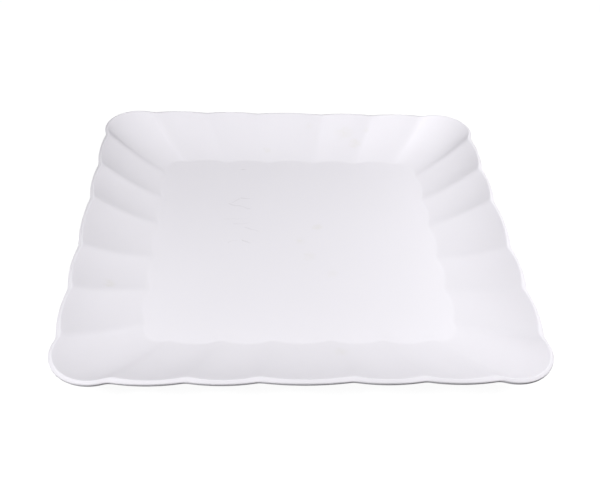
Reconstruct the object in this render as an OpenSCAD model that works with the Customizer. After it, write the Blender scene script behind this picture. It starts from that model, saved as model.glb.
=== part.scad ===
// Square serving tray, moulded in one piece. A wall of shallow flutes fans out from the scalloped
// edge of a flat floor to a scalloped rim, which ends in a rolled lip. A foot ring stands below.
// Millimetres, +Z up. The origin is on the table, under the middle of the tray.

/* [Tray] */
// Width of the tray, across the scallops of two facing sides
tray_width = 300; // [260:1:360]
// Height of the crest of the lip above the table
tray_height = 23; // [16:0.5:36]

/* [Rim] */
// How far a scallop of the rim swells past the pinches beside it
rim_scallop = 1.8; // [0.8:0.1:2.6]
// Width of the middle scallop of a side, from pinch to pinch
rim_middle_width = 54; // [40:1:66]
// Radius of the outline round a corner
rim_corner_radius = 26; // [18:0.5:34]
// Radius of the outline in a pinch
rim_pinch_radius = 12; // [6:1:32]

/* [Lip] */
// Distance from the crest of the lip to its outer edge
lip_width = 2.4; // [1.8:0.1:5]
// Thickness of the lip
lip_thickness = 2.8; // [2.2:0.1:3.4]
// Slope at which the lip falls outwards, in degrees
lip_fall = 18; // [4:1:24]
// Radius of the crest between the wall and the lip
crest_radius = 1; // [0.5:0.1:2]
// How far a scallop of the crest swells past the ridges beside it
crest_scallop = 2.6; // [1:0.1:3.6]
// Radius of the two rounds along the lip's outer edge
edge_radius = 1; // [0.3:0.1:1]

/* [Wall] */
// How hollow the wall is from floor to rim: 0 is a straight slope, 1 leaves the floor level
wall_hollow = 0.5; // [0:0.02:0.9]
// Thickness of the wall at the rim
wall_thickness = 2.6; // [1.8:0.1:3.6]
// Depth that a flute gains at its deepest, two thirds of the way up the wall
flute_depth = 0.2; // [0:0.1:1.2]
// Radius of a ridge where it ends at the crest
ridge_top_radius = 8; // [2:0.5:12]

/* [Floor] */
// Width of the floor, between the ridge ends of two facing sides
floor_width = 199.5; // [170:0.5:225]
// Thickness of the floor
floor_thickness = 3; // [2:0.1:5]
// How far a scallop of the floor's edge swells past the ridge ends beside it
floor_scallop = 2.7; // [1:0.1:4]
// Width of the middle scallop of a side, from ridge to ridge
floor_middle_width = 36.5; // [24:0.5:48]
// Radius of the floor's edge round a corner
floor_corner_radius = 12; // [8:0.5:20]
// How far a corner of the floor's edge swells past the ridge ends beside it
floor_corner_swell = 0.6; // [0.2:0.1:2]
// Radius of a ridge where it ends at the floor
ridge_end_radius = 6; // [1:0.5:8]

/* [Foot] */
// Height of the foot ring below the floor
foot_height = 2; // [1:0.1:4]
// Width of the foot ring's face
foot_face = 4; // [2.5:0.1:7]
// Distance from the ridge ends in to the outside of the foot ring
foot_inset = 7; // [3:0.5:15]
// Radius of the foot ring's outside round a corner
foot_corner_radius = 16; // [9:0.5:30]

/* [Hidden] */
$fn = 64;

// Steps along a pinch, a scallop and a corner, up the wall, over the crest, round each edge and below
pinch_steps = 2;
scallop_steps = 4;
corner_steps = 8;
wall_steps = 7;
crest_steps = 3;
edge_steps = 3;
under_steps = 4;

floor_top = foot_height + floor_thickness;
floor_half = floor_width / 2;
rim_half = tray_width / 2 - rim_scallop;

// The wall is hollow, so it is steepest at the crest, where a round takes it over into the lip
wall_angle = atan((1 + wall_hollow) * (tray_height - floor_top) / (rim_half - lip_width - floor_half));
wall_top_inset = lip_width + crest_radius * sin(wall_angle);
wall_top = tray_height - crest_radius * (1 - cos(wall_angle));

// Centres of the rounds in the lip's section: the crest, and the upper and lower edge of its outer end.
// The upper edge lies where the lip's falling face meets it, and the end is square to that face.
crest_centre = [-lip_width, tray_height - crest_radius];
upper_edge = [
    -edge_radius,
    crest_centre.y - (lip_width - edge_radius) * tan(lip_fall) + (crest_radius - edge_radius) / cos(lip_fall)
];
lower_edge = upper_edge - (lip_thickness - 2 * edge_radius) * [sin(lip_fall), cos(lip_fall)];

function turned(v, angle) = [v.x * cos(angle) - v.y * sin(angle), v.x * sin(angle) + v.y * cos(angle)];

// Points along an arc, without its last one
function arc(centre, radius, from, to, steps) = [
    for (k = [0:steps - 1])
        let (angle = from + (to - from) * k / steps)
        centre + radius * [cos(angle), sin(angle)]
];

// Adds each point's share of the flute that lies between ridges a and b: 0 at a ridge, 1 midway
function fluted(points, a, b) = let (middle = (a + b) / 2, half = (b - a) / 2) [
    for (p = points)
        let (across = (p - middle) * half / (half * half))
        [p, max(0, 1 - across * across)]
];

// One scallop between pinches at a and b on the line x = line, as arcs that run into each other
function scallop(line, a, b, swell, pinch) =
    let (
        half = (b - a) / 2,
        both_radii = (half * half + swell * swell) / (2 * swell),
        radius = both_radii - pinch,
        turn = asin(half / both_radii)
    )
    fluted(
        concat(
            arc([line + pinch, a], pinch, 180, 180 - turn, pinch_steps),
            arc([line + swell - radius, (a + b) / 2], radius, -turn, turn, scallop_steps),
            arc([line + pinch, b], pinch, 180 + turn, 180, pinch_steps)
        ),
        [line, a], [line, b]
    );

// Distance along a side from its last pinch to the outermost line of the corner
function corner_run(swell, radius, pinch) =
    pow((sqrt(2 * swell) + sqrt(2 * swell + 4 * (radius + pinch - swell))) / 2, 2) - pinch;

// The corner between the pinch at [line, last] and its twin on the next side
function corner(line, last, swell, radius, pinch) =
    let (
        centre = line + swell - radius,
        turn = asin((centre - last) / (radius + pinch))
    )
    fluted(
        concat(
            arc([line + pinch, last], pinch, 180, 180 - turn, pinch_steps),
            arc([centre, centre], radius, -turn, 90 + turn, corner_steps),
            arc([last, line + pinch], pinch, 270 + turn, 270, pinch_steps)
        ),
        [line, last], [last, line]
    );

// A square outline of five scallops a side and a rounded lobe at each corner, anticlockwise
function outline(line, middle_width, swell, corner_swell, radius, pinch) =
    let (
        first = middle_width / 2,
        last = line + corner_swell - corner_run(corner_swell, radius, pinch),
        second = (first + last) / 2,
        pinches = [-last, -second, -first, first, second, last],
        quarter = concat(
            [for (k = [0:4]) each scallop(line, pinches[k], pinches[k + 1], swell, pinch)],
            corner(line, last, corner_swell, radius, pinch)
        )
    )
    [for (angle = [0:90:270], p = quarter) [turned(p[0], angle), p[1]]];

rim_line = outline(
    rim_half, rim_middle_width, rim_scallop, rim_scallop, rim_corner_radius, rim_pinch_radius
);
crest_line = outline(
    tray_width / 2 - wall_top_inset - crest_scallop, rim_middle_width, crest_scallop, crest_scallop,
    rim_corner_radius - wall_top_inset, ridge_top_radius
);
floor_line = outline(
    floor_half, floor_middle_width, floor_scallop, floor_corner_swell, floor_corner_radius, ridge_end_radius
);
around = len(rim_line);

function with_height(p, z) = [p.x, p.y, z];

// Depth of the flutes at a share of the wall's width: none at the floor and at the crest, and the
// whole depth at two thirds, where the product of the shares is 4 / 27
function flute_at(share) = flute_depth * share * share * (1 - share) * 27 / 4;

// The wall at a share of its width, from 0 at the floor to 1 below the crest, sunk by a thickness
function wall_ring(share, sunk) =
    let (height = floor_top + (wall_top - floor_top) * share * (1 - wall_hollow + wall_hollow * share))
    [
        for (k = [0:around - 1])
            let (
                low = floor_line[k][0],
                high = crest_line[k][0],
                flute = flute_at(share) * crest_line[k][1]
            )
            with_height(low + (high - low) * share, height - flute - sunk)
    ];

// A ring between rim and crest, at one point of the lip's section, which is measured from the outer edge
function lip_ring(section) =
    let (inward = -section.x / wall_top_inset)
    [
        for (k = [0:around - 1])
            with_height(rim_line[k][0] + (crest_line[k][0] - rim_line[k][0]) * inward, section.y)
    ];

// Rings round one edge of the lip's section, between two angles from straight up towards the outside
function round_rings(centre, radius, from, to, steps) = [
    for (k = [0:steps])
        let (angle = from + (to - from) * k / steps)
        lip_ring(centre + radius * [sin(angle), cos(angle)])
];

// Vertical thickness under the wall, which runs from the floor's to the rim's
function thickness_below(share) =
    floor_thickness + (wall_thickness / cos(wall_angle) - floor_thickness) * share;

// Rings from the floor's edge up the wall, over the lip and back below to the floor's underside
shell_rings = concat(
    [for (k = [0:wall_steps - 1]) wall_ring(k / wall_steps, 0)],
    round_rings(crest_centre, crest_radius, -wall_angle, lip_fall, crest_steps),
    round_rings(upper_edge, edge_radius, lip_fall, lip_fall + 90, edge_steps),
    round_rings(lower_edge, edge_radius, lip_fall + 90, lip_fall + 180, edge_steps),
    [for (k = [under_steps:-1:0]) wall_ring(k / under_steps, thickness_below(k / under_steps))]
);

// A closed skin over a stack of rings, with a flat cap at each end
module skin(rings, first_centre, last_centre) {
    count = len(rings[0]);
    last = len(rings) - 1;
    points = concat([for (ring = rings) each ring], [first_centre, last_centre]);
    sides = [
        for (j = [0:last - 1], k = [0:count - 1])
            let (
                a = j * count + k,
                b = j * count + (k + 1) % count,
                c = a + count,
                d = b + count
            )
            each [[a, b, d], [a, d, c]]
    ];
    first_cap = [for (k = [0:count - 1]) [(last + 1) * count, (k + 1) % count, k]];
    last_cap = [
        for (k = [0:count - 1])
            [(last + 1) * count + 1, last * count + k, last * count + (k + 1) % count]
    ];
    polyhedron(points, concat(sides, first_cap, last_cap));
}

module rounded_square(width, radius) {
    square([width, width - 2 * radius], center = true);
    square([width - 2 * radius, width], center = true);
    for (x = [-1, 1], y = [-1, 1])
        translate([x, y] * (width / 2 - radius)) circle(radius);
}

module foot_ring() {
    width = floor_width - 2 * foot_inset;
    linear_extrude(foot_height + floor_thickness / 2)
        difference() {
            rounded_square(width, foot_corner_radius);
            rounded_square(width - 2 * foot_face, foot_corner_radius - foot_face);
        }
}

module tray() {
    color([0.94, 0.93, 0.95])
        union() {
            skin(shell_rings, [0, 0, floor_top], [0, 0, foot_height]);
            foot_ring();
        }
}

tray();
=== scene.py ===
import math
from collections import namedtuple

import bpy
import numpy as np
from bpy.props import FloatProperty, FloatVectorProperty, PointerProperty
from mathutils import Matrix, Vector


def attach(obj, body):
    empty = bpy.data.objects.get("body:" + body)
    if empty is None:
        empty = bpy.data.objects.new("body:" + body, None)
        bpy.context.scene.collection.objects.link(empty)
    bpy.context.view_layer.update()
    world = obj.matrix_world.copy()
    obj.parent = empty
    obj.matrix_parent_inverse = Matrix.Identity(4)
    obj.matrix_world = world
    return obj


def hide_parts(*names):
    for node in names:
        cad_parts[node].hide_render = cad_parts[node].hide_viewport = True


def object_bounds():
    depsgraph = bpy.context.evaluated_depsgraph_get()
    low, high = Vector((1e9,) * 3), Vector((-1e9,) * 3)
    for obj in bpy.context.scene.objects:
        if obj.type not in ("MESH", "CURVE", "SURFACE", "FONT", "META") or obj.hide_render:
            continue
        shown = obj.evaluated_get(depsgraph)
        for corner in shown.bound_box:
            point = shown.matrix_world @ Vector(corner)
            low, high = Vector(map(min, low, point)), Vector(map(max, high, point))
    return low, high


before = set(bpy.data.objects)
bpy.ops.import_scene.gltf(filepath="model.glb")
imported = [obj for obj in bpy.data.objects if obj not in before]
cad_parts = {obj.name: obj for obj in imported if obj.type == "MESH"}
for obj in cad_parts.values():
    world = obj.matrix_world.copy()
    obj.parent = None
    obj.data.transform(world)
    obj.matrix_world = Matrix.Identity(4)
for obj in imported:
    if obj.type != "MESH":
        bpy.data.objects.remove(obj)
cad_low, cad_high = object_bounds()

bl_info = {
    "name": "Square Serving Tray",
    "version": (1, 0, 0),
    "blender": (4, 5, 0),
    "location": "View3D > Sidebar > Tray",
    "description": "Makes a fluted square tray, moulded in one piece, and a studio to show it in",
    "category": "Add Mesh",
}

# Digits that the panel shows of a length in metres
LENGTH_DIGITS = 5

# Points along a pinch, a scallop and a corner of the outline
PINCH_STEPS = 5
SCALLOP_STEPS = 18
CORNER_STEPS = 34

# Rings across the crease at the floor, up the wall, over each round of the lip and under the wall
CREASE_STEPS = 8
WALL_STEPS = 36
CREST_STEPS = 8
EDGE_STEPS = 6
UNDER_STEPS = 18
FILLET_STEPS = 5

# A flute's depth goes as share^2 (1 - share) of the wall, which is 1 / FLUTE_GAIN at its highest
FLUTE_GAIN = 27 / 4

# Flat faces get coarser towards their middle: each ring lies at this share of the way out and has half
# the points of the one outside it, so an outline's count of points is a multiple of 32
FLAT_SHARES = (0.975, 0.93, 0.84, 0.66, 0.34)

Outline = namedtuple("Outline", "points normals flute")


def distance(name, description, default):
    """A length in metres."""
    return FloatProperty(
        name=name,
        description=description,
        default=default,
        min=0.0,
        precision=LENGTH_DIGITS,
        unit="LENGTH",
        subtype="DISTANCE",
    )


def share(name, description, default):
    """A plain number from 0 to 1."""
    return FloatProperty(
        name=name, description=description, default=default, min=0.0, max=1.0, subtype="FACTOR"
    )


def angle(name, description, degrees):
    """An angle, given in degrees and kept in radians."""
    radians = math.radians(degrees)
    return FloatProperty(
        name=name, description=description, default=radians, unit="ROTATION", subtype="ANGLE"
    )


def colour(name, description, default):
    """A linear colour without alpha."""
    return FloatVectorProperty(
        name=name, description=description, default=default, size=3, min=0.0, max=1.0, subtype="COLOR"
    )


def place(name, description, default):
    """A point in the tray's own frame, in metres."""
    return FloatVectorProperty(
        name=name,
        description=description,
        default=default,
        size=3,
        precision=LENGTH_DIGITS,
        unit="LENGTH",
        subtype="TRANSLATION",
    )


def power(name, description, default):
    """A lamp's power in watts."""
    return FloatProperty(name=name, description=description, default=default, min=0.0, unit="POWER")


class TraySizes(bpy.types.PropertyGroup):
    """Sizes of the moulding"""

    width: distance("Width", "Across the scallops of two facing sides", cad_high.x - cad_low.x)
    height: distance("Height", "Crest of the lip above the table", cad_high.z - cad_low.z)
    rim_scallop: distance("Rim scallop", "How far the rim's scallops swell past its pinches", 0.0018)
    rim_middle: distance("Rim middle", "Width of a side's middle scallop at the rim", 0.054)
    rim_corner: distance("Rim corner", "Radius of the rim round a corner", 0.026)
    rim_pinch: distance("Rim pinch", "Radius of the rim in a pinch", 0.012)
    lip_width: distance("Lip width", "From the crest of the lip to its outer edge", 0.0021)
    lip_thickness: distance("Lip thickness", "Thickness of the lip", 0.0028)
    lip_fall: angle("Lip fall", "Slope at which the lip falls outwards", 30.0)
    lip_lean: angle("Lip lean", "How far the lip's outer end leans in below", 12.0)
    crest_scallop: distance("Crest scallop", "How far the crest's scallops swell past its ridges", 0.0026)
    crest_radius: distance("Crest radius", "Round between the wall and the lip", 0.001)
    edge_radius: distance("Edge radius", "Two rounds along the lip's outer edge", 0.001)
    wall_hollow: share("Wall hollow", "0 is a straight slope, 1 leaves the floor level", 0.5)
    wall_thickness: distance("Wall thickness", "Thickness of the wall at the rim", 0.0026)
    flute_depth: distance("Flute depth", "Depth that a flute gains two thirds up the wall", 0.0002)
    ridge_top: distance("Ridge top", "Radius of a ridge where it ends at the crest", 0.012)
    ridge_round: distance("Ridge round", "Softness of the ridge between two flutes", 0.001)
    floor_width: distance("Floor width", "Between the ridge ends of two facing sides", 0.1995)
    floor_thickness: distance("Floor thickness", "Thickness of the floor", 0.003)
    floor_scallop: distance("Floor scallop", "How far the floor's edge swells past its ridge ends", 0.0027)
    floor_middle: distance("Floor middle", "Width of a side's middle scallop at the floor", 0.0365)
    floor_corner: distance("Floor corner", "Radius of the floor's edge round a corner", 0.012)
    corner_swell: distance("Corner swell", "How far the floor's corner swells past its ridge ends", 0.0006)
    ridge_end: distance("Ridge end", "Radius of a ridge where it ends at the floor", 0.010)
    crease_round: distance("Crease round", "Half the width of the soft bend from floor to wall", 0.0012)
    foot_height: distance("Foot height", "Height of the foot ring below the floor", 0.002)
    foot_face: distance("Foot face", "Width of the foot ring's face", 0.004)
    foot_inset: distance("Foot inset", "From the ridge ends in to the outside of the foot ring", 0.007)
    foot_corner: distance("Foot corner", "Radius of the foot ring's outside round a corner", 0.016)
    foot_round: distance("Foot round", "Rounds and fillets of the foot ring", 0.0007)


class TrayFinish(bpy.types.PropertyGroup):
    """Finish of the moulding"""

    clean: colour("Clean", "Clean moulded surface", (0.815, 0.798, 0.842))
    dull: colour("Dull", "Broad, faint patches of the same surface", (0.790, 0.773, 0.816))
    soiled: colour("Soiled", "Smudges from handling", (0.750, 0.730, 0.710))
    scored: colour("Scored", "Bottom of a hairline score", (0.660, 0.640, 0.675))
    roughness: share("Roughness", "Roughness of the matt surface", 0.65)
    rubbed: share("Rubbed", "Roughness where hands and the table polish it", 0.55)
    specular: share("Specular", "Strength of the surface's reflections", 0.10)


class TrayStage(bpy.types.PropertyGroup):
    """Studio round the tray"""

    floor_size: distance("Floor size", "Width of the studio floor", 8.0)
    floor_gap: distance("Floor gap", "Floor below the tray's foot", 0.0001)
    floor_colour: colour("Floor colour", "What the floor gives back of the light on it", (0.15, 0.15, 0.15))
    floor_white: share("Floor white", "Plain white that the floor shows besides that light", 0.93)
    fade_start: distance("Fade start", "Where the floor begins to turn plain white", 0.35)
    fade_end: distance("Fade end", "Where the floor is plain white", 1.2)
    ambient: share("Ambient", "Strength of the room's even light", 0.08)
    bounce: share("Bounce", "Strength of the even light from below", 0.10)
    lamp_size: distance("Lamp size", "Width of each soft lamp", 0.30)
    left_place: place("Left lamp", "Middle of the soft lamp in front on the left", (-0.60, -0.50, 0.70))
    left_power: power("Left power", "Power of the soft lamp in front on the left", 8.45)
    right_place: place("Right lamp", "Middle of the soft lamp on the right", (0.50, -0.03, 0.40))
    right_power: power("Right power", "Power of the soft lamp on the right", 2.82)
    low_place: place("Low lamp", "Middle of the soft lamp that shows the underside", (0.35, 0.60, -0.60))
    low_power: power("Low power", "Power of the soft lamp that shows the underside", 6.0)
    camera_place: place("Camera place", "Where the camera stands", (-0.0337, -0.4682, 0.3865))
    camera_turn: angle("Camera turn", "Turn of the camera about the upright axis", -4.546)
    camera_drop: angle("Camera drop", "How far the camera looks down", 39.716)
    camera_roll: angle("Camera roll", "Roll of the camera about its own line of sight", 3.182)
    camera_lens: FloatProperty(
        name="Lens", description="Focal length on a 36 mm sensor", default=50.4, unit="CAMERA"
    )


def arc(centre, radius, start, end, steps, side):
    """Points along an arc and the outline's outward normals there: side is 1 on a swell, -1 in a pinch."""
    angles = np.radians(np.linspace(start, end, steps, endpoint=False))
    rays = np.column_stack([np.cos(angles), np.sin(angles)])
    return np.array(centre) + radius * rays, side * rays


def fluted(arcs, ridge_a, ridge_b, ridge_round):
    """Arcs joined between two ridges, with each point's share of the flute: 0 at a ridge, 1 midway."""
    points = np.concatenate([points for points, _ in arcs])
    normals = np.concatenate([normals for _, normals in arcs])
    middle = (np.array(ridge_a) + ridge_b) / 2
    chord = np.array(ridge_b) - middle
    half = np.linalg.norm(chord)
    from_ridge = half - np.abs((points - middle) @ chord) / half
    softened = np.hypot(from_ridge, ridge_round) - ridge_round
    across = 1 - softened / half
    return Outline(points, normals, 1 - across**2)


def scallop(line, a, b, swell, pinch, ridge_round):
    """One scallop between pinches at a and b on the line x = line."""
    half = (b - a) / 2
    both_radii = (half**2 + swell**2) / (2 * swell)
    radius = both_radii - pinch
    turn = math.degrees(math.asin(half / both_radii))
    arcs = [
        arc((line + pinch, a), pinch, 180, 180 - turn, PINCH_STEPS, -1),
        arc((line + swell - radius, (a + b) / 2), radius, -turn, turn, SCALLOP_STEPS, 1),
        arc((line + pinch, b), pinch, 180 + turn, 180, PINCH_STEPS, -1),
    ]
    return fluted(arcs, (line, a), (line, b), ridge_round)


def corner(line, last, swell, radius, pinch, ridge_round):
    """The corner between the pinch at (line, last) and its twin on the next side."""
    centre = line + swell - radius
    turn = math.degrees(math.asin((centre - last) / (radius + pinch)))
    arcs = [
        arc((line + pinch, last), pinch, 180, 180 - turn, PINCH_STEPS, -1),
        arc((centre, centre), radius, -turn, 90 + turn, CORNER_STEPS, 1),
        arc((last, line + pinch), pinch, 270 + turn, 270, PINCH_STEPS, -1),
    ]
    return fluted(arcs, (line, last), (last, line), ridge_round)


def corner_run(swell, radius, pinch):
    """Distance along a side from its last pinch to the outermost line of the corner."""
    root = (math.sqrt(2 * swell) + math.sqrt(2 * swell + 4 * (radius + pinch - swell))) / 2
    return root**2 - pinch


def outline(line, middle_width, swell, corner_swell, radius, pinch, ridge_round):
    """A square of five scallops a side and a rounded lobe at each corner, anticlockwise."""
    first = middle_width / 2
    last = line + corner_swell - corner_run(corner_swell, radius, pinch)
    second = (first + last) / 2
    pinches = (-last, -second, -first, first, second, last)
    parts = [scallop(line, a, b, swell, pinch, ridge_round) for a, b in zip(pinches, pinches[1:])]
    parts.append(corner(line, last, corner_swell, radius, pinch, ridge_round))
    quarter = Outline(*(np.concatenate(values) for values in zip(*parts)))
    quarter_turn = np.array(((0.0, 1.0), (-1.0, 0.0)))
    spins = [np.linalg.matrix_power(quarter_turn, k) for k in range(4)]
    points = np.concatenate([quarter.points @ spin for spin in spins])
    normals = np.concatenate([quarter.normals @ spin for spin in spins])
    return Outline(points, normals, np.tile(quarter.flute, 4))


class TrayForm:
    """The moulding's surface, as rings of points that follow its outlines."""

    def __init__(self, sizes):
        self.sizes = sizes
        self.floor_top = sizes.foot_height + sizes.floor_thickness
        floor_half = sizes.floor_width / 2
        rim_half = sizes.width / 2 - sizes.rim_scallop
        self.rim = outline(
            rim_half, sizes.rim_middle, sizes.rim_scallop, sizes.rim_scallop,
            sizes.rim_corner, sizes.rim_pinch, sizes.ridge_round,
        )
        self.floor = outline(
            floor_half, sizes.floor_middle, sizes.floor_scallop, sizes.corner_swell,
            sizes.floor_corner, sizes.ridge_end, sizes.ridge_round,
        )
        self.run = rim_half - sizes.lip_width - floor_half
        self.wall_angle = math.atan((1 + sizes.wall_hollow) * (sizes.height - self.floor_top) / self.run)
        self.wall_top = sizes.height - sizes.crest_radius * (1 - math.cos(self.wall_angle))
        self.wall_inset = sizes.lip_width + sizes.crest_radius * math.sin(self.wall_angle)
        self.crest = outline(
            rim_half + sizes.rim_scallop - self.wall_inset - sizes.crest_scallop, sizes.rim_middle,
            sizes.crest_scallop, sizes.crest_scallop,
            sizes.rim_corner - self.wall_inset, sizes.ridge_top, sizes.ridge_round,
        )
        self.crease = sizes.crease_round / self.run

    def ramp(self, along):
        """A slope that starts softly across the crease, for a share of the wall from -crease to 1."""
        if along >= self.crease:
            return along
        return (along + self.crease) ** 2 / (4 * self.crease)

    def wall_ring(self, along, sunk=0.0):
        """The wall at a share of its width, below 0 on the floor and 1 below the crest."""
        sizes = self.sizes
        up = max(along, 0.0)
        low = self.floor.points + min(along, 0.0) * self.run * self.floor.normals
        high = self.crest.points
        rise = (1 - sizes.wall_hollow) * self.ramp(along) + sizes.wall_hollow * up**2
        flute = sizes.flute_depth * FLUTE_GAIN * self.ramp(along) ** 2 * (1 - up) * self.crest.flute
        height = self.floor_top + (self.wall_top - self.floor_top) * rise - flute - sunk
        return np.column_stack([low + (high - low) * up, height])

    def under_ring(self, along):
        """The wall's underside, whose thickness runs from the floor's to the rim's."""
        at_rim = self.sizes.wall_thickness / math.cos(self.wall_angle)
        at_floor = self.sizes.floor_thickness
        return self.wall_ring(along, at_floor + (at_rim - at_floor) * max(along, 0.0))

    def lip_ring(self, point):
        """A ring between rim and crest at a point of the lip's section, whose x is 0 at the outer edge."""
        inward = -point[0] / self.wall_inset
        flat = self.rim.points + (self.crest.points - self.rim.points) * inward
        return np.column_stack([flat, np.full(len(flat), point[1])])

    def lip_section(self):
        """Points of the lip's section from the crest over the outer edge to the underside of the wall."""
        sizes = self.sizes
        fall = sizes.lip_fall
        lean = sizes.lip_lean
        inward = np.array((-math.cos(lean), math.sin(lean)))
        down = np.array((-math.sin(lean), -math.cos(lean)))
        crest = np.array((-sizes.lip_width, sizes.height - sizes.crest_radius))
        upper_x = -sizes.edge_radius
        upper_z = (
            crest[1]
            - (sizes.lip_width - sizes.edge_radius) * math.tan(fall)
            + (sizes.crest_radius - sizes.edge_radius) / math.cos(fall)
        )
        upper = np.array((upper_x, upper_z))
        lower = upper + (sizes.lip_thickness - 2 * sizes.edge_radius) * down
        quarter = math.pi / 2
        end = quarter + lean
        section = section_round(crest, sizes.crest_radius, -self.wall_angle, fall, CREST_STEPS)
        section += section_round(upper, sizes.edge_radius, fall, end, EDGE_STEPS)
        section += section_round(lower, sizes.edge_radius, end, end + quarter, EDGE_STEPS)
        wall_dir = np.array((math.cos(self.wall_angle), math.sin(self.wall_angle)))
        at_rim = sizes.wall_thickness / math.cos(self.wall_angle)
        under = np.array((-self.wall_inset, self.wall_top - at_rim))
        return section + fillet(section[-1], inward, under, wall_dir)[1:-1]

    def foot_section(self):
        """Points of the foot ring's section, from its outer fillet round the face to its inner fillet."""
        sizes = self.sizes
        r = sizes.foot_round
        quarter = math.pi / 2
        top = sizes.foot_height - r
        inner = -sizes.foot_face
        section = section_round((r, top), r, 0, -quarter, FILLET_STEPS)
        section += section_round((-r, r), r, quarter, 2 * quarter, FILLET_STEPS)
        section += section_round((inner + r, r), r, 2 * quarter, 3 * quarter, FILLET_STEPS)
        section += section_round((inner - r, top), r, quarter, 0, FILLET_STEPS)
        return section

    def foot_ring(self, point):
        """The foot's outline, a rounded square below the floor's edge, at one point of its section."""
        sizes = self.sizes
        core = sizes.floor_width / 2 - sizes.foot_inset - sizes.foot_corner
        inside = np.clip(self.floor.points, -core, core)
        outward = self.floor.points - inside
        outward /= np.linalg.norm(outward, axis=1, keepdims=True)
        flat = inside + (sizes.foot_corner + point[0]) * outward
        return np.column_stack([flat, np.full(len(flat), point[1])])

    def rings(self):
        """Rings from the middle of the floor over wall, lip, underside and foot to the middle below."""
        crease = [self.crease * (2 * k / CREASE_STEPS - 1) for k in range(CREASE_STEPS)]
        wall = [self.crease + (1 - self.crease) * k / WALL_STEPS for k in range(WALL_STEPS)]
        under = [1 - (1 - self.crease) * k / UNDER_STEPS for k in range(UNDER_STEPS)]
        edge = self.wall_ring(crease[0])
        foot = [self.foot_ring(point) for point in self.foot_section()]
        rings = flat_rings(edge)[::-1]
        rings += [self.wall_ring(along) for along in crease + wall]
        rings += [self.lip_ring(point) for point in self.lip_section()]
        rings += [self.under_ring(along) for along in under]
        rings += [self.under_ring(-along) for along in crease]
        rings += foot
        rings += flat_rings(foot[-1])
        return rings


def section_round(centre, radius, start, end, steps):
    """Points round an arc of a section, as angles from straight up towards the outside."""
    angles = np.linspace(start, end, steps + 1)
    return [np.array(centre) + radius * np.array((math.sin(a), math.cos(a))) for a in angles]


def fillet(start, start_dir, end, end_dir):
    """A curve that leaves start along one direction and reaches end along the other's line."""
    steps = np.linalg.solve(np.column_stack([start_dir, -end_dir]), end - start)
    bend = start + steps[0] * start_dir
    shares = np.linspace(0, 1, FILLET_STEPS + 1)
    return [(1 - t) ** 2 * start + 2 * t * (1 - t) * bend + t**2 * end for t in shares]


def flat_rings(edge):
    """Rings that fill a flat face inside its edge, each with half the points of the one outside it."""
    middle = np.array((0.0, 0.0, edge[0][2]))
    rings = []
    for k, inward in enumerate(FLAT_SHARES):
        rings.append(middle + (edge[:: 2 ** (k + 1)] - middle) * inward)
    return rings


def bridge(first, first_count, second, second_count):
    """Faces from one ring of the closed skin to the next, where either may have half the points."""
    faces = []
    for k in range(min(first_count, second_count)):
        a, b = first + k, first + (k + 1) % first_count
        c, d = second + k, second + (k + 1) % second_count
        if first_count == second_count:
            faces.append((a, c, d, b))
        elif first_count < second_count:
            c, m, d = (second + (2 * k + step) % second_count for step in range(3))
            faces += [(a, c, m), (a, m, b), (b, m, d)]
        else:
            a, m, b = (first + (2 * k + step) % first_count for step in range(3))
            faces += [(a, c, m), (m, c, d), (m, d, b)]
    return faces


def skin(rings):
    """Points and faces of a closed skin over the rings, with a fan in the middle of each end."""
    counts = [len(ring) for ring in rings]
    starts = np.concatenate([[0], np.cumsum(counts)]).tolist()
    points = np.concatenate(rings + [rings[0].mean(0)[None], rings[-1].mean(0)[None]])
    faces = []
    for j in range(len(rings) - 1):
        faces += bridge(starts[j], counts[j], starts[j + 1], counts[j + 1])
    first_middle, last_middle = starts[-1], starts[-1] + 1
    for k in range(counts[0]):
        faces.append((first_middle, k, (k + 1) % counts[0]))
    for k in range(counts[-1]):
        faces.append((last_middle, starts[-2] + (k + 1) % counts[-1], starts[-2] + k))
    return points, faces


# Sockets of a Mix node for two numbers or two colours: first, second and result
MIX_SOCKETS = {"FLOAT": (2, 3, 0), "RGBA": (6, 7, 2)}

WHITE = (1.0, 1.0, 1.0, 1.0)

# Middle of a noise's colour
NOISE_MIDDLE = (0.5, 0.5, 0.5)

# Noise that makes a smudge ragged, per metre, how much of it leaves gaps, and how hard their edges are
SMUDGE_SCALE = 260.0
SMUDGE_DETAIL = 3.0
SMUDGE_GAPS = 0.25
SMUDGE_CONTRAST = 3.0

# Noise that bends a hairline, per metre, how far it bends, and the share of its depth lost at the end
HAIRLINE_SCALE = 160.0
HAIRLINE_DETAIL = 1.0
HAIRLINE_BEND = 0.004
HAIRLINE_FADE = 0.6

# Noises of the fine grain and of the broad patches, per metre
GRAIN_SCALE = 900.0
GRAIN_DETAIL = 2.0
PATCH_SCALE = 9.0
PATCH_DETAIL = 3.0

# The mottle is the patches and this share of the grain; up to its clean value no dull colour shows
GRAIN_SHARE = 0.35
CLEAN_MOTTLE = 0.17

# Range of the mottle over which the roughness swings, how far it swings, and what a smudge adds
MOTTLE_RANGE = (0.35, 1.0)
ROUGHNESS_SWING = 0.05
SMUDGE_ROUGHNESS = 0.12

# Relief of grain and scores, as shares of the bump's height in metres
GRAIN_RELIEF = 0.5
SCORE_RELIEF = 0.5
BUMP_HEIGHT = 0.00004
BUMP_STRENGTH = 0.35

# Mesh attribute that is 1 where hands and the table rub the tray
RUBBED = "rubbed"

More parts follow.
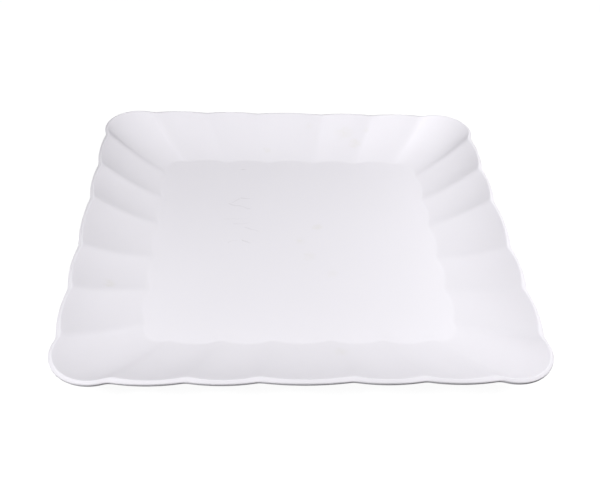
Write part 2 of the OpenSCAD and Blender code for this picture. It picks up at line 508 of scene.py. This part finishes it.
# Smudges from handling, as a place on the tray, a radius and a strength
SMUDGES = (
    ((-0.019, 0.113, 0.0085), 0.004, 0.55),
    ((0.016, 0.136, 0.0185), 0.005, 0.20),
    ((0.046, 0.131, 0.0158), 0.009, 0.45),
    ((0.054, 0.121, 0.0115), 0.006, 0.75),
    ((0.064, 0.133, 0.0175), 0.004, 0.40),
    ((0.017, 0.016, 0.0050), 0.005, 0.55),
    ((0.003, 0.000, 0.0050), 0.005, 0.45),
    ((0.009, -0.017, 0.0050), 0.006, 0.40),
    ((0.024, -0.036, 0.0050), 0.005, 0.35),
    ((-0.1247, -0.054, 0.0122), 0.005, 0.75),
    ((0.024, -0.112, 0.0085), 0.006, 0.40),
)

# Hairline scores on the floor, each from one place to another, with its depth at the start
HAIRLINES = (
    ((-0.0400, 0.0508), (-0.0330, 0.0510), 0.9),
    ((-0.0410, 0.0495), (-0.0472, 0.0450), 0.6),
    ((-0.0490, 0.0438), (-0.0330, 0.0380), 0.8),
    ((-0.0520, 0.0255), (-0.0340, 0.0260), 0.2),
    ((-0.0450, 0.0185), (-0.0330, 0.0205), 0.4),
    ((-0.0360, 0.0150), (-0.0260, 0.0100), 0.5),
    ((-0.0385, 0.0010), (-0.0325, -0.0025), 0.9),
    ((-0.0480, -0.0025), (-0.0430, -0.0005), 0.4),
    ((-0.0386, 0.0896), (-0.0366, 0.0896), 0.9),
)


def make_node(tree, kind, inputs=None, **settings):
    """A new node with its settings, and its inputs set to a value or joined to a socket."""
    node = tree.nodes.new(kind)
    for name, value in settings.items():
        setattr(node, name, value)
    for name, value in (inputs or {}).items():
        if isinstance(value, bpy.types.NodeSocket):
            tree.links.new(value, node.inputs[name])
        else:
            node.inputs[name].default_value = value
    return node


def math_node(tree, operation, a, b=0.0, clamp=False):
    """The result of one sum on two values or sockets."""
    node = make_node(tree, "ShaderNodeMath", {0: a, 1: b}, operation=operation, use_clamp=clamp)
    return node.outputs[0]


def vector_node(tree, operation, a, b, output="Vector"):
    """The result of one sum on two vectors."""
    return make_node(tree, "ShaderNodeVectorMath", {0: a, 1: b}, operation=operation).outputs[output]


def mix_node(tree, kind, factor, first, second):
    """A blend of two numbers or two colours, which is the first where the factor is 0."""
    first_socket, second_socket, result = MIX_SOCKETS[kind]
    inputs = {0: factor, first_socket: first, second_socket: second}
    return make_node(tree, "ShaderNodeMix", inputs, data_type=kind).outputs[result]


def range_node(tree, value, low, high, at_low, at_high):
    """A value carried from one range to another, and held at its ends."""
    inputs = {"Value": value, "From Min": low, "From Max": high, "To Min": at_low, "To Max": at_high}
    return make_node(tree, "ShaderNodeMapRange", inputs).outputs["Result"]


def noise_node(tree, here, scale, detail):
    """The outputs of a noise texture."""
    inputs = {"Vector": here, "Scale": scale, "Detail": detail}
    return make_node(tree, "ShaderNodeTexNoise", inputs).outputs


def group_node(tree, group, inputs=None):
    """The outputs of a node group, placed with its own values."""
    return make_node(tree, "ShaderNodeGroup", inputs, node_tree=group).outputs


def nearness(tree, away, reach):
    """1 at no distance, falling to 0 at the reach."""
    return math_node(tree, "SUBTRACT", 1.0, math_node(tree, "DIVIDE", away, reach), clamp=True)


def strongest(tree, masks):
    """The strongest of several masks."""
    total = masks[0]
    for mask in masks[1:]:
        total = math_node(tree, "MAXIMUM", total, mask)
    return total


def opaque(rgb):
    """A colour with full alpha."""
    return (*rgb, 1.0)


def new_group(name, inputs, outputs):
    """A node group with named sockets, given as name, kind and default."""
    group = bpy.data.node_groups.new(name, "ShaderNodeTree")
    for socket_name, kind, default in inputs:
        socket = group.interface.new_socket(socket_name, in_out="INPUT", socket_type=kind)
        socket.default_value = default
    for socket_name, kind in outputs:
        group.interface.new_socket(socket_name, in_out="OUTPUT", socket_type=kind)
    return group, group.nodes.new("NodeGroupInput").outputs, group.nodes.new("NodeGroupOutput")


def smudge_group():
    """A faint, ragged spot round a place on the surface."""
    group, given, out = new_group(
        "Smudge",
        [
            ("Place", "NodeSocketVector", (0.0, 0.0, 0.0)),
            ("Radius", "NodeSocketFloat", 0.006),
            ("Strength", "NodeSocketFloat", 0.5),
        ],
        [("Mask", "NodeSocketFloat")],
    )
    here = make_node(group, "ShaderNodeTexCoord").outputs["Object"]
    noise = noise_node(group, here, SMUDGE_SCALE, SMUDGE_DETAIL)
    wander = vector_node(group, "SUBTRACT", noise["Color"], NOISE_MIDDLE)
    bent = vector_node(group, "ADD", here, vector_node(group, "MULTIPLY", wander, given["Radius"]))
    away = vector_node(group, "DISTANCE", bent, given["Place"], "Value")
    near = nearness(group, away, given["Radius"])
    kept = math_node(group, "SUBTRACT", noise["Fac"], SMUDGE_GAPS)
    patchy = math_node(group, "MULTIPLY", kept, SMUDGE_CONTRAST)
    spot = math_node(group, "MULTIPLY", near, patchy, clamp=True)
    mask = math_node(group, "MULTIPLY", spot, given["Strength"])
    group.links.new(mask, out.inputs["Mask"])
    return group


def hairline_group():
    """A hairline score between two places on the surface."""
    group, given, out = new_group(
        "Hairline",
        [
            ("From", "NodeSocketVector", (0.0, 0.0, 0.0)),
            ("To", "NodeSocketVector", (0.01, 0.0, 0.0)),
            ("Width", "NodeSocketFloat", 0.0008),
            ("Depth", "NodeSocketFloat", 0.5),
        ],
        [("Mask", "NodeSocketFloat")],
    )
    here = make_node(group, "ShaderNodeTexCoord").outputs["Object"]
    noise = noise_node(group, here, HAIRLINE_SCALE, HAIRLINE_DETAIL)
    sideways = vector_node(group, "SUBTRACT", noise["Color"], NOISE_MIDDLE)
    bend = vector_node(group, "MULTIPLY", sideways, (HAIRLINE_BEND, HAIRLINE_BEND, 0.0))
    bent = vector_node(group, "ADD", here, bend)
    from_start = vector_node(group, "SUBTRACT", bent, given["From"])
    whole = vector_node(group, "SUBTRACT", given["To"], given["From"])
    passed = vector_node(group, "DOT_PRODUCT", from_start, whole, "Value")
    length_squared = vector_node(group, "DOT_PRODUCT", whole, whole, "Value")
    along = math_node(group, "DIVIDE", passed, length_squared, clamp=True)
    nearest = vector_node(group, "MULTIPLY", whole, along)
    away = vector_node(group, "DISTANCE", from_start, nearest, "Value")
    near = nearness(group, away, given["Width"])
    fading = math_node(group, "SUBTRACT", 1.0, math_node(group, "MULTIPLY", along, HAIRLINE_FADE))
    score = math_node(group, "MULTIPLY", near, fading)
    mask = math_node(group, "MULTIPLY", score, given["Depth"])
    group.links.new(mask, out.inputs["Mask"])
    return group


def grain_group():
    """Fine moulded grain, with broad soft patches."""
    group, given, out = new_group(
        "Moulded grain",
        [("Fine", "NodeSocketFloat", GRAIN_SCALE), ("Broad", "NodeSocketFloat", PATCH_SCALE)],
        [("Grain", "NodeSocketFloat"), ("Patches", "NodeSocketFloat")],
    )
    here = make_node(group, "ShaderNodeTexCoord").outputs["Object"]
    fine = noise_node(group, here, given["Fine"], GRAIN_DETAIL)
    broad = noise_node(group, here, given["Broad"], PATCH_DETAIL)
    group.links.new(fine["Fac"], out.inputs["Grain"])
    group.links.new(broad["Fac"], out.inputs["Patches"])
    return group


def smudge_mask(tree):
    """All smudges on the tray."""
    group = smudge_group()
    masks = []
    for spot, radius, strength in SMUDGES:
        values = {"Place": spot, "Radius": radius, "Strength": strength}
        masks.append(group_node(tree, group, values)["Mask"])
    return strongest(tree, masks)


def score_mask(tree, floor_top):
    """All hairline scores on the floor of the tray."""
    group = hairline_group()
    masks = []
    for start, end, depth in HAIRLINES:
        values = {"From": (*start, floor_top), "To": (*end, floor_top), "Depth": depth}
        masks.append(group_node(tree, group, values)["Mask"])
    return strongest(tree, masks)


def moulding_material(finish, floor_top):
    """Matt white moulded plastic with fine grain, faint patches, smudges and hairline scores."""
    material = bpy.data.materials.new("Matt moulding")
    material.use_nodes = True
    tree = material.node_tree
    shader = tree.nodes["Principled BSDF"]
    shader.inputs["Specular IOR Level"].default_value = finish.specular
    grain = group_node(tree, grain_group())
    smudged = smudge_mask(tree)
    scored = score_mask(tree, floor_top)
    rubbed = make_node(tree, "ShaderNodeAttribute", attribute_name=RUBBED).outputs["Fac"]

    fine = math_node(tree, "MULTIPLY", grain["Grain"], GRAIN_SHARE)
    mottle = math_node(tree, "ADD", fine, grain["Patches"])
    dulled = math_node(tree, "SUBTRACT", mottle, CLEAN_MOTTLE, clamp=True)
    base = mix_node(tree, "RGBA", dulled, opaque(finish.clean), opaque(finish.dull))
    base = mix_node(tree, "RGBA", smudged, base, opaque(finish.soiled))
    base = mix_node(tree, "RGBA", scored, base, opaque(finish.scored))
    tree.links.new(base, shader.inputs["Base Color"])

    smoothest = finish.roughness - ROUGHNESS_SWING
    roughest = finish.roughness + ROUGHNESS_SWING
    matt = range_node(tree, mottle, *MOTTLE_RANGE, smoothest, roughest)
    polished = mix_node(tree, "FLOAT", rubbed, matt, finish.rubbed)
    dirt = math_node(tree, "MULTIPLY", smudged, SMUDGE_ROUGHNESS)
    tree.links.new(math_node(tree, "ADD", polished, dirt), shader.inputs["Roughness"])

    raised = math_node(tree, "MULTIPLY", grain["Grain"], GRAIN_RELIEF)
    cut = math_node(tree, "MULTIPLY", scored, SCORE_RELIEF)
    relief = math_node(tree, "SUBTRACT", raised, cut)
    bump_values = {"Strength": BUMP_STRENGTH, "Distance": BUMP_HEIGHT, "Height": relief}
    bump = make_node(tree, "ShaderNodeBump", bump_values)
    tree.links.new(bump.outputs["Normal"], shader.inputs["Normal"])
    return material


def shown_to_eye(tree):
    """1 for rays that show the background itself or its reflection, 0 for light."""
    path = make_node(tree, "ShaderNodeLightPath").outputs
    seen = math_node(tree, "MAXIMUM", path["Is Camera Ray"], path["Is Glossy Ray"])
    return math_node(tree, "MAXIMUM", seen, path["Is Transmission Ray"])


def floor_material(stage):
    """Floor that shows as white and keeps the tray's shadow. From below, and for light, it isn't there."""
    material = bpy.data.materials.new("Studio floor")
    material.use_nodes = True
    tree = material.node_tree
    tree.nodes.clear()
    matt = make_node(tree, "ShaderNodeBsdfDiffuse", {"Color": opaque(stage.floor_colour)}).outputs[0]
    here = make_node(tree, "ShaderNodeTexCoord").outputs["Object"]
    away = vector_node(tree, "LENGTH", here, (0.0, 0.0, 0.0), "Value")
    brightness = range_node(tree, away, stage.fade_start, stage.fade_end, stage.floor_white, 1.0)
    white = make_node(tree, "ShaderNodeEmission", {"Color": WHITE, "Strength": brightness}).outputs[0]
    above = make_node(tree, "ShaderNodeAddShader", {0: matt, 1: white}).outputs[0]
    gone = make_node(tree, "ShaderNodeBsdfTransparent").outputs[0]
    side = make_node(tree, "ShaderNodeNewGeometry").outputs["Backfacing"]
    there = math_node(tree, "SUBTRACT", shown_to_eye(tree), side, clamp=True)
    both = make_node(tree, "ShaderNodeMixShader", {0: there, 1: gone, 2: above}).outputs[0]
    make_node(tree, "ShaderNodeOutputMaterial", {"Surface": both})
    return material


def studio_world(stage):
    """Even room light from above and below, behind a plain white background."""
    world = bpy.data.worlds.new("Studio")
    world.use_nodes = True
    tree = world.node_tree
    tree.nodes.clear()
    towards = make_node(tree, "ShaderNodeTexCoord").outputs["Generated"]
    height = make_node(tree, "ShaderNodeSeparateXYZ", {"Vector": towards}).outputs["Z"]
    up = math_node(tree, "GREATER_THAN", height)
    strength = mix_node(tree, "FLOAT", up, stage.bounce, stage.ambient)
    room = make_node(tree, "ShaderNodeBackground", {"Color": WHITE, "Strength": strength}).outputs[0]
    white = make_node(tree, "ShaderNodeBackground", {"Color": WHITE, "Strength": 1.0}).outputs[0]
    both = make_node(tree, "ShaderNodeMixShader", {0: shown_to_eye(tree), 1: room, 2: white}).outputs[0]
    make_node(tree, "ShaderNodeOutputWorld", {"Surface": both})
    return world


class TRAY_OT_make_moulding(bpy.types.Operator):
    """Make the tray, one moulding from floor to lip and foot"""

    bl_idname = "tray.make_moulding"
    bl_label = "Make moulding"

    def execute(self, context):
        sizes = context.scene.tray_sizes
        form = TrayForm(sizes)
        rings = form.rings()
        points, faces = skin(rings)
        mesh = bpy.data.meshes.new("tray_moulding")
        mesh.from_pydata(points.tolist(), [], faces)
        if mesh.validate():
            raise RuntimeError("The moulding's faces don't close into one skin")
        mesh.shade_smooth()
        rubbed = mesh.attributes.new(RUBBED, "FLOAT", "POINT")
        on_lip = np.clip((points[:, 2] - form.wall_top) / (sizes.height - form.wall_top), 0, 1)
        on_foot = np.clip(1 - points[:, 2] / sizes.foot_round, 0, 1)
        rubbed.data.foreach_set("value", np.maximum(on_lip, on_foot).astype(np.float32))
        moulding = bpy.data.objects.new("tray_moulding", mesh)
        context.scene.collection.objects.link(moulding)
        mesh.materials.append(moulding_material(context.scene.tray_finish, form.floor_top))
        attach(moulding, "root")
        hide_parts("tray")
        return {"FINISHED"}


class TRAY_OT_make_stage(bpy.types.Operator):
    """Make the studio: floor, room light, three soft lamps and camera"""

    bl_idname = "tray.make_stage"
    bl_label = "Make stage"

    @staticmethod
    def soft_lamp(scene, name, spot, watts):
        """A round soft lamp that faces the tray."""
        light = bpy.data.lights.new(name, "AREA")
        light.shape = "DISK"
        light.size = scene.tray_stage.lamp_size
        light.energy = watts
        lamp = bpy.data.objects.new(name, light)
        lamp.location = spot
        lamp.rotation_mode = "QUATERNION"
        lamp.rotation_quaternion = (-Vector(spot)).to_track_quat("-Z", "Y")
        scene.collection.objects.link(lamp)

    def execute(self, context):
        scene = context.scene
        stage = scene.tray_stage
        half = stage.floor_size / 2
        mesh = bpy.data.meshes.new("studio_floor")
        square = ((-half, -half), (half, -half), (half, half), (-half, half))
        corners = [(x, y, -stage.floor_gap) for x, y in square]
        mesh.from_pydata(corners, [], [(0, 1, 2, 3)])
        mesh.materials.append(floor_material(stage))
        floor = bpy.data.objects.new("studio_floor", mesh)
        scene.collection.objects.link(floor)

        self.soft_lamp(scene, "left_lamp", stage.left_place, stage.left_power)
        self.soft_lamp(scene, "right_lamp", stage.right_place, stage.right_power)
        self.soft_lamp(scene, "low_lamp", stage.low_place, stage.low_power)

        lens = bpy.data.cameras.new("studio_camera")
        lens.lens = stage.camera_lens
        camera = bpy.data.objects.new("studio_camera", lens)
        turn = Matrix.Rotation(stage.camera_turn, 4, "Z")
        drop = Matrix.Rotation(math.pi / 2 - stage.camera_drop, 4, "X")
        roll = Matrix.Rotation(stage.camera_roll, 4, "Z")
        camera.matrix_world = Matrix.Translation(stage.camera_place) @ turn @ drop @ roll
        scene.collection.objects.link(camera)
        scene.camera = camera

        scene.world = studio_world(stage)
        scene.view_settings.view_transform = "Standard"
        return {"FINISHED"}


class TRAY_PT_panel(bpy.types.Panel):
    """Sizes, finish and studio of the tray"""

    bl_label = "Serving tray"
    bl_idname = "TRAY_PT_panel"
    bl_space_type = "VIEW_3D"
    bl_region_type = "UI"
    bl_category = "Tray"

    def draw(self, context):
        for group in (context.scene.tray_sizes, context.scene.tray_finish, context.scene.tray_stage):
            box = self.layout.box()
            for name in group.__annotations__:
                box.prop(group, name)
        self.layout.operator(TRAY_OT_make_moulding.bl_idname)
        self.layout.operator(TRAY_OT_make_stage.bl_idname)


CLASSES = (TraySizes, TrayFinish, TrayStage, TRAY_OT_make_moulding, TRAY_OT_make_stage, TRAY_PT_panel)


def register():
    for cls in CLASSES:
        bpy.utils.register_class(cls)
    bpy.types.Scene.tray_sizes = PointerProperty(type=TraySizes)
    bpy.types.Scene.tray_finish = PointerProperty(type=TrayFinish)
    bpy.types.Scene.tray_stage = PointerProperty(type=TrayStage)


def unregister():
    del bpy.types.Scene.tray_stage
    del bpy.types.Scene.tray_finish
    del bpy.types.Scene.tray_sizes
    for cls in reversed(CLASSES):
        bpy.utils.unregister_class(cls)


def main():
    register()
    bpy.ops.tray.make_moulding()
    bpy.ops.tray.make_stage()


if __name__ == "__main__":
    main()
